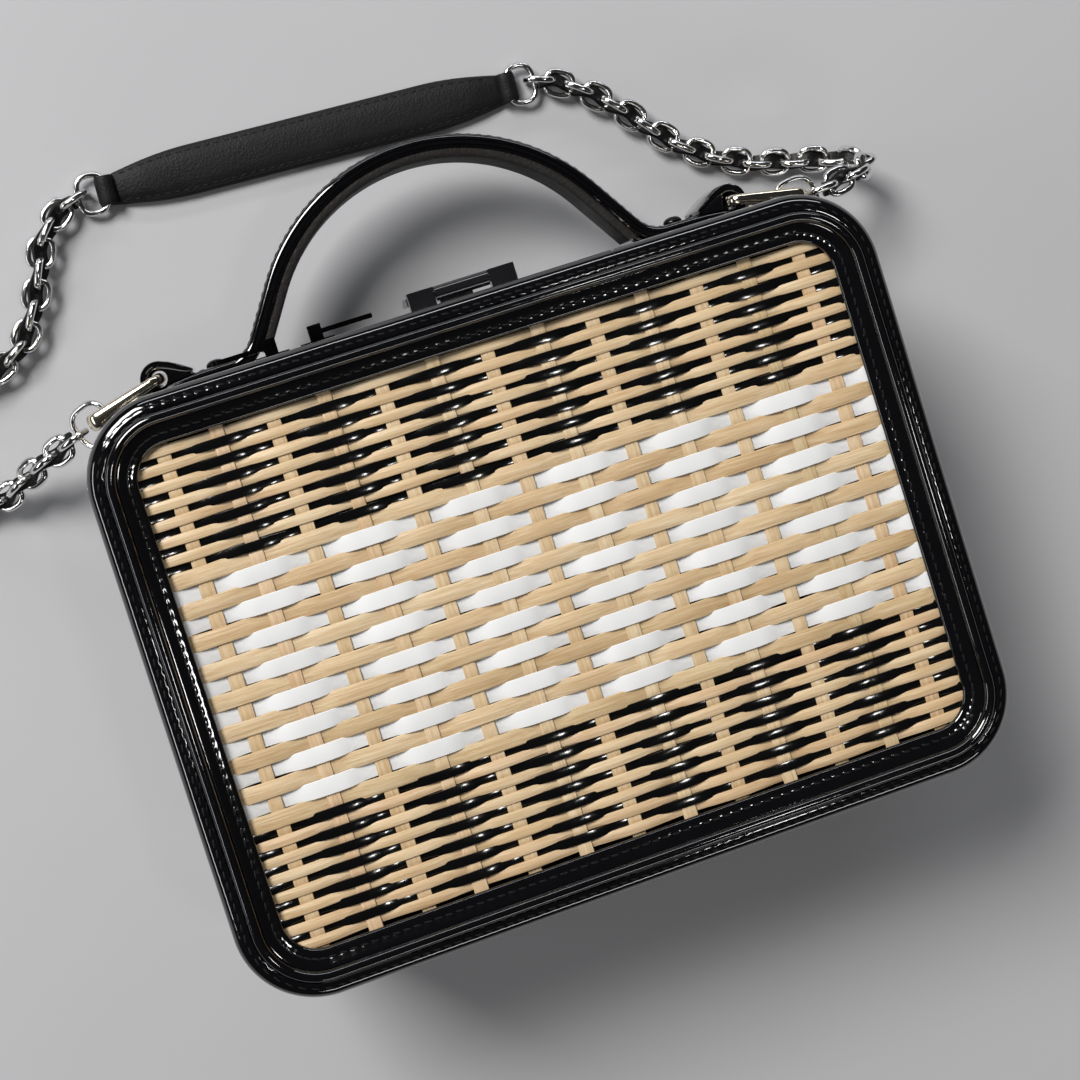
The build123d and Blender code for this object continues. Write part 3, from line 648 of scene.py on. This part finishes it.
def strap_run():
    """Centre line of the right half, from the apex to the curled end, with the thickness at each point."""
    peak = STRAP_AXIS + FOOT_PLACE * math.tan(LEG_SLOPE)
    slope = math.degrees(LEG_SLOPE)
    top = (0.0, peak - ARCH_R / math.cos(LEG_SLOPE))
    line = [(p, STRAP_THICK) for p in arc(top, ARCH_R, 90, 90 - slope, 26)]
    back = FOOT_R * math.tan(LEG_SLOPE / 2)
    foot = (FOOT_PLACE + back, STRAP_AXIS + FOOT_R)
    bend = arc(foot, FOOT_R, 270 - slope, 270, 12)
    start = line[-1][0]
    for i in range(1, 8):
        line.append((start.lerp(bend[0], i / 8), STRAP_THICK))
    line += [(p, STRAP_THICK) for p in bend]
    start = line[-1][0]
    for i in range(1, 9):
        share = i / 9
        x = start.x + (LOOP_PLACE - start.x) * share
        line.append((Vector((x, STRAP_AXIS - 0.6 * share ** 3, 0)), STRAP_THICK - 1.2 * share ** 3))
    line += [(p, CURL_THICK) for p in arc((LOOP_PLACE, LOOP_Y), CURL_R, -90, 118, 24)]
    start = line[-1][0]
    for share, drop, thick in FOLD_SHARES:
        line.append((Vector((start.x - FOLD_RUN * share, start.y - FOLD_DROP * drop, 0)), thick))
    return line


def strap_rings(line, shape, base_thick):
    """Sections along a centre line in the plane of the handle, each as thick as the line says."""
    rings = []
    for i, (point, thick) in enumerate(line):
        before, after = line[max(0, i - 1)][0], line[min(len(line) - 1, i + 1)][0]
        along = (after - before).normalized()
        normal = UP.cross(along)
        rings.append([])
        for v, n in shape:
            off = n * thick / base_thick
            rings[-1].append(Vector((point.x + normal.x * off, point.y + normal.y * off, HANDLE_Z + v)))
    return rings


# Section of the strap's edge: its layers show as grooves
STRAP_EDGE = [
    (6.9, 1.66), (7.3, 1.52), (7.7, 1.62), (8.2, 1.5), (8.65, 1.2), (8.92, 0.75), (8.97, 0.35), (8.72, 0.12),
    (8.97, -0.1), (9.0, -0.5), (8.95, -0.85), (8.7, -1.02), (8.92, -1.2), (8.8, -1.5), (8.4, -1.7),
]
strap_shape = [(0, 1.7)] + STRAP_EDGE + [(0, -1.7)] + [(-v, n) for v, n in reversed(STRAP_EDGE)]
half = strap_run()
strap_line = [(Vector((-p.x, p.y, 0)), t) for p, t in reversed(half)] + half[1:]
strap = Build()
strap.loft(strap_rings(strap_line, strap_shape, EDGE_THICK))
for way in (-1, 1):
    fill = [
        (LOOP_PLACE + BORE_R * math.cos(math.radians(a)), LOOP_Y + BORE_R * math.sin(math.radians(a)))
        for a in range(112, 256, 12)
    ]
    fill += [(LOOP_PLACE - back, y) for back, y in ((3, 78.3), (8.6, 78.7), (6.4, 80.6), (3.8, 82.0))]
    strap.loft([[Vector((way * x, y, HANDLE_Z + z)) for x, y in fill] for z in (-FILL_HALF, FILL_HALF)])
piece("handle_patent", strap, PATENT, "body", ["handle_strap"])

UNDER_THICK, UNDER_LEAN = 2.4, 33     # the lining's thickness and the lean of its legs, in degrees
LINING_EDGE = [(7.0, 1.2), (8.1, 1.18), (8.2, 0.7), (8.16, -0.4), (7.9, -0.95), (7.2, -1.15), (6.4, -1.2)]
lining_shape = [(0, 1.2)] + LINING_EDGE + [(0, -1.2)] + [(-v, n) for v, n in reversed(LINING_EDGE)]
inner_r = ARCH_R - STRAP_THICK / 2 - UNDER_THICK / 2
peak_centre = (0.0, STRAP_AXIS + FOOT_PLACE * math.tan(LEG_SLOPE) - ARCH_R / math.cos(LEG_SLOPE))
curve = arc(peak_centre, inner_r, 90, UNDER_LEAN, 24)
lean = Vector((math.sin(math.radians(UNDER_LEAN)), -math.cos(math.radians(UNDER_LEAN)), 0))
last = curve[-1]
leg = (last.y - WALL_TOP - 3.2) / math.cos(math.radians(UNDER_LEAN))
curve += [last + lean * (leg * i / 6) for i in range(1, 7)]
full = [(Vector((-p.x, p.y, 0)), UNDER_THICK) for p in reversed(curve)]
full += [(p, UNDER_THICK) for p in curve[1:]]
lining = Build()
lining.loft(strap_rings(full, lining_shape, UNDER_THICK))
piece("handle_underside", lining, UNDERSIDE, "body", ["handle_lining"])

handle_thread = Build()
run = 0.0
for (a, _), (b, _) in zip(strap_line, strap_line[1:]):
    step = (b - a).length
    along = (b - a).normalized()
    normal = UP.cross(along)
    while run < step:
        middle = a + along * run + normal * 1.8
        if abs(middle.x) < LOOP_PLACE - 6:
            for v in (-HANDLE_SEAM, HANDLE_SEAM):
                handle_thread.capsule(middle + UP * (HANDLE_Z + v), along, UP, normal, 2.0, 0.24, 0.2)
        run += STITCH_PITCH
    run -= step
piece("handle_stitches", handle_thread, THREAD, "body")

STUD_DOME = [(2.55, 0), (2.6, 0.35), (2.5, 0.75), (2.15, 1.2), (1.55, 1.55), (0.8, 1.75), (0.15, 1.8)]
studs = Build()
for x in (-STUD_PLACE, STUD_PLACE):
    turns = [TAU * j / 28 for j in range(28)]
    studs.loft([
        [Vector((x + r * math.cos(turn), FOOT_TOP + h, HANDLE_Z + r * math.sin(turn))) for turn in turns]
        for r, h in STUD_DOME
    ])
piece("handle_stud_domes", studs, DARK, "body", ["handle_studs"])


# Chain strap: links and a lace along each route, and the pad between them

LINK_REST = 4.4                      # height of a link's middle on the floor
JUMP_REACH, JUMP_SIZE, JUMP_WIRE = 21.2, 12.6, 1.5
HOOK_GAP, PAD_GAP, PAD_RING_REACH, PAD_LIFT = 7.7, 1.5, 8, 3
LACE_HALF, LACE_HALF_THICK, LACE_TILT, LACE_SWAY, LACE_STEPS = 2.35, 0.7, math.radians(40), 0.9, 8


def shares_to_points(shares):
    """Points of a chain's route, from shares of the case's sizes and of the rise to the rings."""
    rise_all = HANDLE_Z - LINK_REST
    return [Vector((CASE_WIDTH * x, CASE_HEIGHT * y, LINK_REST + rise * rise_all)) for x, y, rise in shares]


left_route = shares_to_points((
    (-0.5858, 0.4399, 0.514), (-0.6446, 0.3967, 0), (-0.735, 0.412, 0), (-0.735, 0.588, 0),
    (-0.5686, 0.6275, 0), (-0.5147, 0.7418, 0), (-0.4828, 0.8562, 0),
))
right_route = shares_to_points(((0.608, 0.505, 1), (0.618, 0.54, 0), (0.412, 0.6, 0), (0.279, 0.82, 0)))
PAD_LEFT = Vector((CASE_WIDTH * -0.3892, CASE_HEIGHT * 0.8791, 0))
PAD_RIGHT = Vector((CASE_WIDTH * 0.1767, CASE_HEIGHT * 0.8497, 0))
PAD_DIR = (PAD_RIGHT - PAD_LEFT).normalized()
PAD_ACROSS = UP.cross(PAD_DIR)

# Name and direction of each end, its ring's droop in degrees and its route
STRAP_ENDS = (("left", -1, 17, left_route), ("right", 1, 13, right_route))


def ring_reach(side, droop):
    """Direction in which a handle ring hangs."""
    return Vector((side * math.cos(math.radians(droop)), -math.sin(math.radians(droop)), 0))


def jump_place(side, droop):
    """Middle of a jump ring, just past its handle ring."""
    return Vector((side * LOOP_PLACE, LOOP_Y, HANDLE_Z)) + ring_reach(side, droop) * JUMP_REACH


def smooth_line(name, points):
    """Points along a smooth curve that has the route's points as its control points."""
    data = bpy.data.curves.new(name, "CURVE")
    data.dimensions = "3D"
    spline = data.splines.new("NURBS")
    spline.points.add(len(points) - 1)
    for slot, point in zip(spline.points, points):
        slot.co = (*point, 1)
    spline.order_u = 3
    spline.use_endpoint_u = True
    spline.resolution_u = 24
    holder = bpy.data.objects.new(name, data)
    mesh = bpy.data.meshes.new_from_object(holder)
    line = [v.co.copy() for v in mesh.vertices]
    bpy.data.objects.remove(holder)
    bpy.data.curves.remove(data)
    bpy.data.meshes.remove(mesh)
    return line


def along_line(line, spacing=None, count=None):
    """Evenly spaced points with directions along a line, both ends included."""
    lengths = [0.0]
    for a, b in zip(line, line[1:]):
        lengths.append(lengths[-1] + (b - a).length)
    total = lengths[-1]
    count = count or 2 * math.ceil(total / spacing / 2)
    found, k = [], 0
    for i in range(count + 1):
        goal = total * i / count
        while k < len(line) - 2 and lengths[k + 1] < goal:
            k += 1
        share = (goal - lengths[k]) / (lengths[k + 1] - lengths[k])
        found.append((line[k].lerp(line[k + 1], share), (line[k + 1] - line[k]).normalized()))
    return found


def carried(found, across):
    """Sideways directions carried along a line without turning about it, ending level."""
    sides = []
    for _, along in found:
        across = (across - along * across.dot(along)).normalized()
        sides.append(across)
    end = found[-1][1]
    flat = UP.cross(end).normalized()
    angle = math.atan2(sides[-1].cross(flat).dot(end), sides[-1].dot(flat))
    angle = (angle + math.pi / 2) % math.pi - math.pi / 2
    turned = []
    for i, (side, (_, along)) in enumerate(zip(sides, found)):
        turned.append(Matrix.Rotation(angle * i / (len(found) - 1), 3, along) @ side)
    return turned


LINK_SHAPE = []
for j in range(28):
    c, s = math.cos(TAU * j / 28), math.sin(TAU * j / 28)
    LINK_SHAPE.append((math.copysign(abs(c) ** 0.72, c), math.copysign(abs(s) ** 0.72, s)))


def link(build, middle, along, wide, facing, long, broad, wire):
    """One rounded link of wire, a little flattened."""
    rings = []
    count = len(LINK_SHAPE)
    for j in range(count):
        x, y = LINK_SHAPE[j]
        px, py = LINK_SHAPE[j - 1]
        nx, ny = LINK_SHAPE[(j + 1) % count]
        centre = middle + along * (x * (long - wire) / 2) + wide * (y * (broad - wire) / 2)
        tangent = (along * (nx - px) * (long - wire) + wide * (ny - py) * (broad - wire)).normalized()
        outward = tangent.cross(facing)
        rings.append([])
        for k in range(10):
            across, above = wire / 2 * math.cos(TAU * k / 10), wire / 2 * 1.1 * math.sin(TAU * k / 10)
            rings[-1].append(centre + outward * across + facing * above)
    build.loft(rings, closed=True)


LINK_LONG, LINK_BROAD, LINK_WIRE, LINK_SPACE = 9.6, 8.4, 1.75, 6.1
for name, side, droop, route in STRAP_ENDS:
    pad_end = PAD_LEFT if side < 0 else PAD_RIGHT
    pad_bar = pad_end + PAD_DIR * (side * PAD_RING_REACH) + UP * PAD_LIFT
    hook = jump_place(side, droop)
    first = (route[0] - hook).normalized()
    last_dir = (route[-1] - pad_bar).normalized()
    line = smooth_line(f"{name}_route", [hook + first * HOOK_GAP, *route, pad_bar + last_dir * PAD_GAP])
    stops = along_line(line, spacing=LINK_SPACE)
    sides = carried(stops, UP.cross(first))
    chain, lace = Build(), Build()
    for i, ((middle, along), across) in enumerate(zip(stops, sides)):
        above = along.cross(across)
        facing, wide = (above, across) if i % 2 else (across, above)
        link(chain, middle, along, wide, facing, LINK_LONG, LINK_BROAD, LINK_WIRE)
    piece(f"chain_{name}_links", chain, SILVER, "body", [f"chain_{name}"])
    fine = along_line(line, count=(len(stops) - 1) * LACE_STEPS)
    lace_sides = carried(fine, UP.cross(first))
    rings = []
    for i, ((middle, along), across) in enumerate(zip(fine, lace_sides)):
        above = along.cross(across)
        wave = math.sin(math.pi * i / LACE_STEPS + 0.8)
        broad = across * math.cos(LACE_TILT) + above * math.sin(LACE_TILT)
        thin = above * math.cos(LACE_TILT) - across * math.sin(LACE_TILT)
        centre = middle + thin * (LACE_SWAY * wave)
        rings.append([centre + broad * (LACE_HALF * a) + thin * (LACE_HALF_THICK * b) for a, b in STRIP_SHAPE])
    lace.loft(rings)
    piece(f"chain_{name}_lace", lace, LACE, "body")

jumps = Build()
for _, side, droop, route in STRAP_ENDS:
    hook = jump_place(side, droop)
    first = (route[0] - hook).normalized()
    across = UP.cross(first).normalized()
    link(jumps, hook, first, across, first.cross(across), JUMP_SIZE, JUMP_SIZE, JUMP_WIRE)
piece("jump_ring_wires", jumps, SILVER, "body", ["jump_rings"])

# Handle rings: a round bar in the curl that swells to a broad band
RING_REACH, RING_HALF, RING_WIRE, RING_CORNER, RING_SWELL = 20.0, 11.0, 3.0, 2.2, 0.8
for name, side, droop, _ in STRAP_ENDS:
    centre = Vector((side * LOOP_PLACE, LOOP_Y, HANDLE_Z))
    reach = ring_reach(side, droop)
    thick = reach.cross(UP)
    path = []
    for x, z, start in (
        (RING_REACH, RING_HALF, 0), (0, RING_HALF, 90), (0, -RING_HALF, 180), (RING_REACH, -RING_HALF, 270),
    ):
        turn = math.radians(start + 45)
        middle_x = x - math.copysign(RING_CORNER, math.cos(turn))
        middle_z = z - math.copysign(RING_CORNER, math.sin(turn))
        path += arc((middle_x, middle_z), RING_CORNER, start, start + 90, 8)
    rings = []
    for i, spot in enumerate(path):
        run = (path[(i + 1) % len(path)] - path[i - 1]).normalized()
        out = Vector((run.y, -run.x, 0))
        swell = min(1.0, max(0.0, (spot.x - 2) / 4))
        rings.append([])
        for k in range(20):
            c, s = math.cos(TAU * k / 20), math.sin(TAU * k / 20)
            a = RING_WIRE / 2 * math.copysign(abs(c) ** 0.75, c)
            b = (RING_WIRE / 2 + RING_SWELL * swell) * math.copysign(abs(s) ** 0.75, s)
            at = spot + out * a
            rings[-1].append(centre + reach * at.x + UP * at.y + thick * b)
    band = Build()
    band.loft(rings, closed=True)
    piece(f"ring_{name}_band", band, GOLD, f"ring_{name}", [f"ring_{name}"])

PAD_RING_LONG, PAD_RING_BROAD = 9.7, 12.4
pad_rings = Build()
for end, way in ((PAD_LEFT, -1), (PAD_RIGHT, 1)):
    middle = end + PAD_DIR * (way * PAD_RING_REACH / 2) + UP * PAD_LIFT
    link(pad_rings, middle, PAD_DIR, PAD_ACROSS, UP, PAD_RING_LONG, PAD_RING_BROAD, LINK_WIRE)
piece("pad_ring_wires", pad_rings, SILVER, "body", ["pad_rings"])

PAD_LONG = (PAD_RIGHT - PAD_LEFT).length
# Section of the pad, as shares of half its width and of its thickness
PAD_SHAPE = [
    (-1, 0.42), (-0.97, 0.62), (-0.88, 0.8), (-0.76, 0.83), (-0.68, 0.9), (-0.35, 0.98), (0, 1.0),
    (0.35, 0.98), (0.68, 0.9), (0.76, 0.83), (0.88, 0.8), (0.97, 0.62), (1, 0.42), (0.98, 0.2),
    (0.9, 0.02), (-0.9, 0.02), (-0.98, 0.2),
]
PAD_STEPS, PAD_SEAM_SHARE, LOOP_SWELL = 60, 0.76, 2.75


def pad_size(run):
    """Half the pad's width and its thickness at a distance along it."""
    near = min(run, PAD_LONG - run)
    return 4.0 + 3.0 * math.sin(math.pi / 2 * min(1.0, near / 24)), 2.6 + 1.4 * min(1.0, near / 10)


pad, pad_thread = Build(), Build()
rings = []
for i in range(PAD_STEPS + 1):
    run = i / PAD_STEPS * PAD_LONG
    half_width, thick = pad_size(run)
    middle = PAD_LEFT + PAD_DIR * run
    rings.append([middle + PAD_ACROSS * (a * half_width) + UP * (b * thick) for a, b in PAD_SHAPE])
pad.loft(rings)
for i in range(2, int(PAD_LONG / STITCH_PITCH) - 1):
    run = i * STITCH_PITCH
    half_width, thick = pad_size(run)
    for way in (-1, 1):
        seam = PAD_ACROSS * (way * half_width * PAD_SEAM_SHARE)
        middle = PAD_LEFT + PAD_DIR * run + seam + UP * (0.84 * thick)
        pad_thread.capsule(middle, PAD_DIR, PAD_ACROSS, UP, 2.0, 0.24, 0.2)
for end in (PAD_LEFT, PAD_RIGHT):
    rings = []
    for k in range(-4, 5):
        over = end + UP * PAD_LIFT + PAD_ACROSS * k
        swell = LOOP_SWELL - (0.25 if abs(k) == 4 else 0)
        rings.append([])
        for j in range(24):
            turn = TAU * j / 24
            rings[-1].append(over + PAD_DIR * (swell * math.cos(turn)) + UP * (swell * math.sin(turn)))
    pad.loft(rings)
shoulder = piece("shoulder_pad_leather", pad, MATTE, "body", ["shoulder_pad"])
piece("shoulder_pad_stitches", pad_thread, THREAD, "body")


# Fittings keep their own solids, with softened edges

def dress(node, material, width, segments):
    """Give a solid its material and bevelled edges."""
    obj = nodes[node]
    obj.data.materials.clear()
    obj.data.materials.append(material)
    edge = obj.modifiers.new("soft_edges", "BEVEL")
    edge.width = width * MM
    edge.segments = segments
    edge.limit_method = "ANGLE"
    edge.angle_limit = math.radians(30)
    edge.harden_normals = True


for node in ("zip_slider_left", "zip_slider_right", "zip_pull_left", "zip_pull_right"):
    dress(node, DARK, 0.25, 2)
for node in ("clasp_hinge", "clasp_flap", "clasp_catch"):
    dress(node, SILVER, 0.3, 3)
for node in ("clasp_pin", "clasp_inlay"):
    dress(node, INLAY, 0.3, 3)

# The clasp's barrel is black, and the plate under it stays silver
HINGE_Z, HINGE_REACH, PLATE_TOP = 64.5, 2.2, 76.3
for node in ("clasp_hinge", "clasp_flap"):
    mesh = nodes[node].data
    mesh.materials.append(INLAY)
    for face in mesh.polygons:
        spot = nodes[node].matrix_world @ face.center / MM
        if abs(spot.z - HINGE_Z) < HINGE_REACH and spot.y > PLATE_TOP:
            face.material_index = 1
for node in ("hinge_roll", "hinge_leaf"):
    dress(node, MATTE, 0.2, 2)


# Floor, lights and camera

def floor_material():
    material, tree, shader = nodes_of("floor")
    spot = place(tree, (1, 1, 1))
    cloud = noise(tree, spot, 5, 3.0)
    tree.links.new(mix(tree, cloud, (0.40, 0.402, 0.418), (0.44, 0.442, 0.456)), shader.inputs["Base Color"])
    shader.inputs["Roughness"].default_value = 0.75
    return material


FLOOR_HALF = 6.0
floor = bpy.data.objects.new("floor", bpy.data.meshes.new("floor"))
corners = [(FLOOR_HALF * x, FLOOR_HALF * y, 0) for x, y in ((-1, -1), (1, -1), (1, 1), (-1, 1))]
floor.data.from_pydata(corners, [], [(0, 1, 2, 3)])
floor.data.materials.append(floor_material())
bpy.context.scene.collection.objects.link(floor)


LAMP_AIM = Vector((0, 0, 0.05))


def lamp(name, spot, power, size, colour):
    """An area lamp in metres that faces the case."""
    data = bpy.data.lights.new(name, "AREA")
    data.energy = power
    data.shape = "RECTANGLE"
    data.size, data.size_y = size
    data.color = colour
    obj = bpy.data.objects.new(name, data)
    obj.location = spot
    obj.rotation_euler = (LAMP_AIM - Vector(spot)).to_track_quat("-Z", "Y").to_euler()
    bpy.context.scene.collection.objects.link(obj)


lamp("ceiling", (-0.86, 1.36, 1.7), 66.0, (0.9, 0.9), (1.0, 0.985, 0.96))
lamp("glint", (0.24, -0.17, 1.25), 0.9, (0.1, 0.1), (1.0, 0.985, 0.96))
lamp("window", (0.35, 1.3, 0.62), 6.0, (1.6, 0.12), (0.93, 0.96, 1.0))
lamp("left", (-1.3, 0.1, 0.6), 3.5, (1.0, 0.14), (0.95, 0.97, 1.0))
lamp("front", (0.2, -1.3, 0.8), 4.0, (1.2, 0.14), (1.0, 0.99, 0.97))

world = bpy.data.worlds.new("studio")
world.use_nodes = True
sky = world.node_tree.nodes["Background"]
sky.inputs["Color"].default_value = (0.93, 0.95, 1.0, 1)
sky.inputs["Strength"].default_value = 0.025
bpy.context.scene.world = world

# The photograph's viewpoint, from its right and down directions
CAMERA_PLACE = Vector((-51.01, 70, 543.55))
CAMERA_RIGHT = Vector((0.94418, -0.30007, 0.13596))
CAMERA_DOWN = Vector((-0.30408, -0.9526, 0.00924))
camera = bpy.data.objects.new("camera", bpy.data.cameras.new("camera"))
bpy.context.scene.collection.objects.link(camera)
turn = Matrix((CAMERA_RIGHT, -CAMERA_DOWN, -CAMERA_RIGHT.cross(CAMERA_DOWN))).transposed()
camera.matrix_world = Matrix.Translation(CAMERA_PLACE * MM) @ turn.to_4x4()
camera.data.lens = 63.87
camera.data.sensor_width = 36
camera.data.shift_y = -0.1296
camera.data.clip_start = 0.01
bpy.context.scene.camera = camera
bpy.context.scene.view_settings.view_transform = "Standard"
